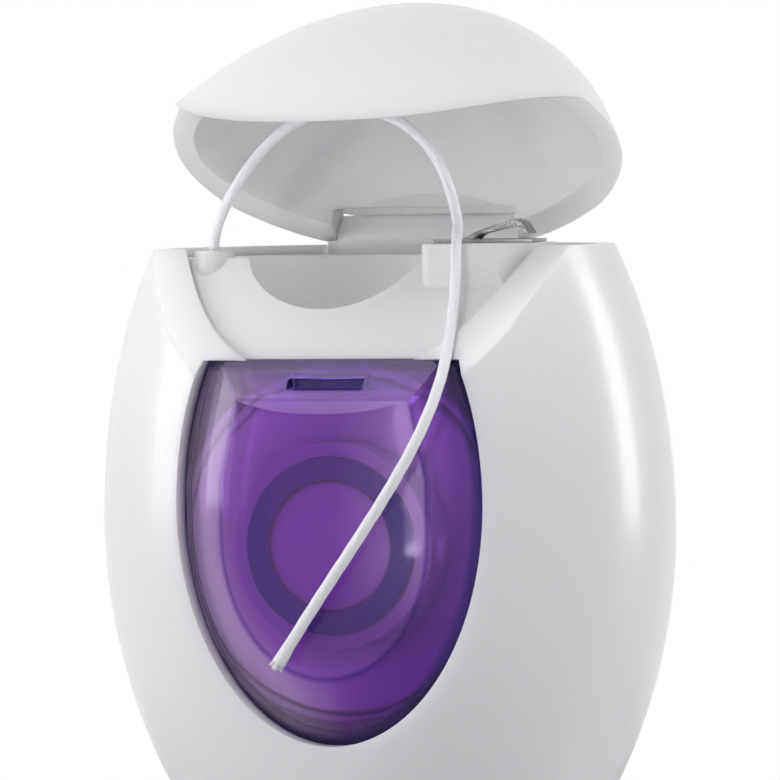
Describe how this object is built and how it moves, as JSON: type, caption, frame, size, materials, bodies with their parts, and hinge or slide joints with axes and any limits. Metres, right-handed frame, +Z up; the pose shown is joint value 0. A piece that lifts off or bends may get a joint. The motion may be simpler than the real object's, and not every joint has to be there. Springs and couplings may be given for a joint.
{
  "type": "dental floss dispenser",
  "caption": "Pod-shaped floss dispenser case with a flip cap on a living hinge, tinted window over a spinning floss bobbin, exit hole, finger scoop, steel cutter and pulled strand",
  "frame": {"origin": "centre of the flat base of the case, on the surface it stands on", "axes": "+Z up, -Y towards the window at the front, +X towards the cutter's side"},
  "size_m": [0.052, 0.033, 0.0755],
  "materials": {
    "shell_white": "glossy moulded plastic",
    "window_violet": "clear violet-tinted moulded plastic",
    "insert_gray": "satin moulded plastic",
    "blade_steel": "bright rolled steel",
    "hinge_white": "thin flexed plastic",
    "cap_white": "glossy moulded plastic",
    "core_white": "satin moulded plastic",
    "floss_wound": "wound waxed thread",
    "floss_strand": "waxed thread"
  },
  "bodies": {
    "container": {"body_shell": "shell_white", "front_window": "window_violet", "deck_insert": "insert_gray", "cutter": "blade_steel", "hinge_strip": "hinge_white", "floss_feed": "floss_strand", "floss_loop": "floss_strand", "floss_tail": "floss_strand"},
    "lid": {"cap": "cap_white"},
    "bobbin": {"bobbin_core": "core_white", "floss_pack": "floss_wound", "floss_winding": "floss_wound"}
  },
  "joints": [
    {"name": "cap_hinge", "type": "hinge", "parent": "container", "child": "lid", "pos_m": [0, 0.0104, 0.0554], "axis": [1, 0, 0], "range_deg": [-38, 50], "deforming": ["hinge_strip", "floss_loop", "floss_tail"]},
    {"name": "bobbin_spin", "type": "hinge", "parent": "container", "child": "bobbin", "pos_m": [0, 0, 0.0294], "axis": [0, 1, 0], "continuous": true}
  ]
}
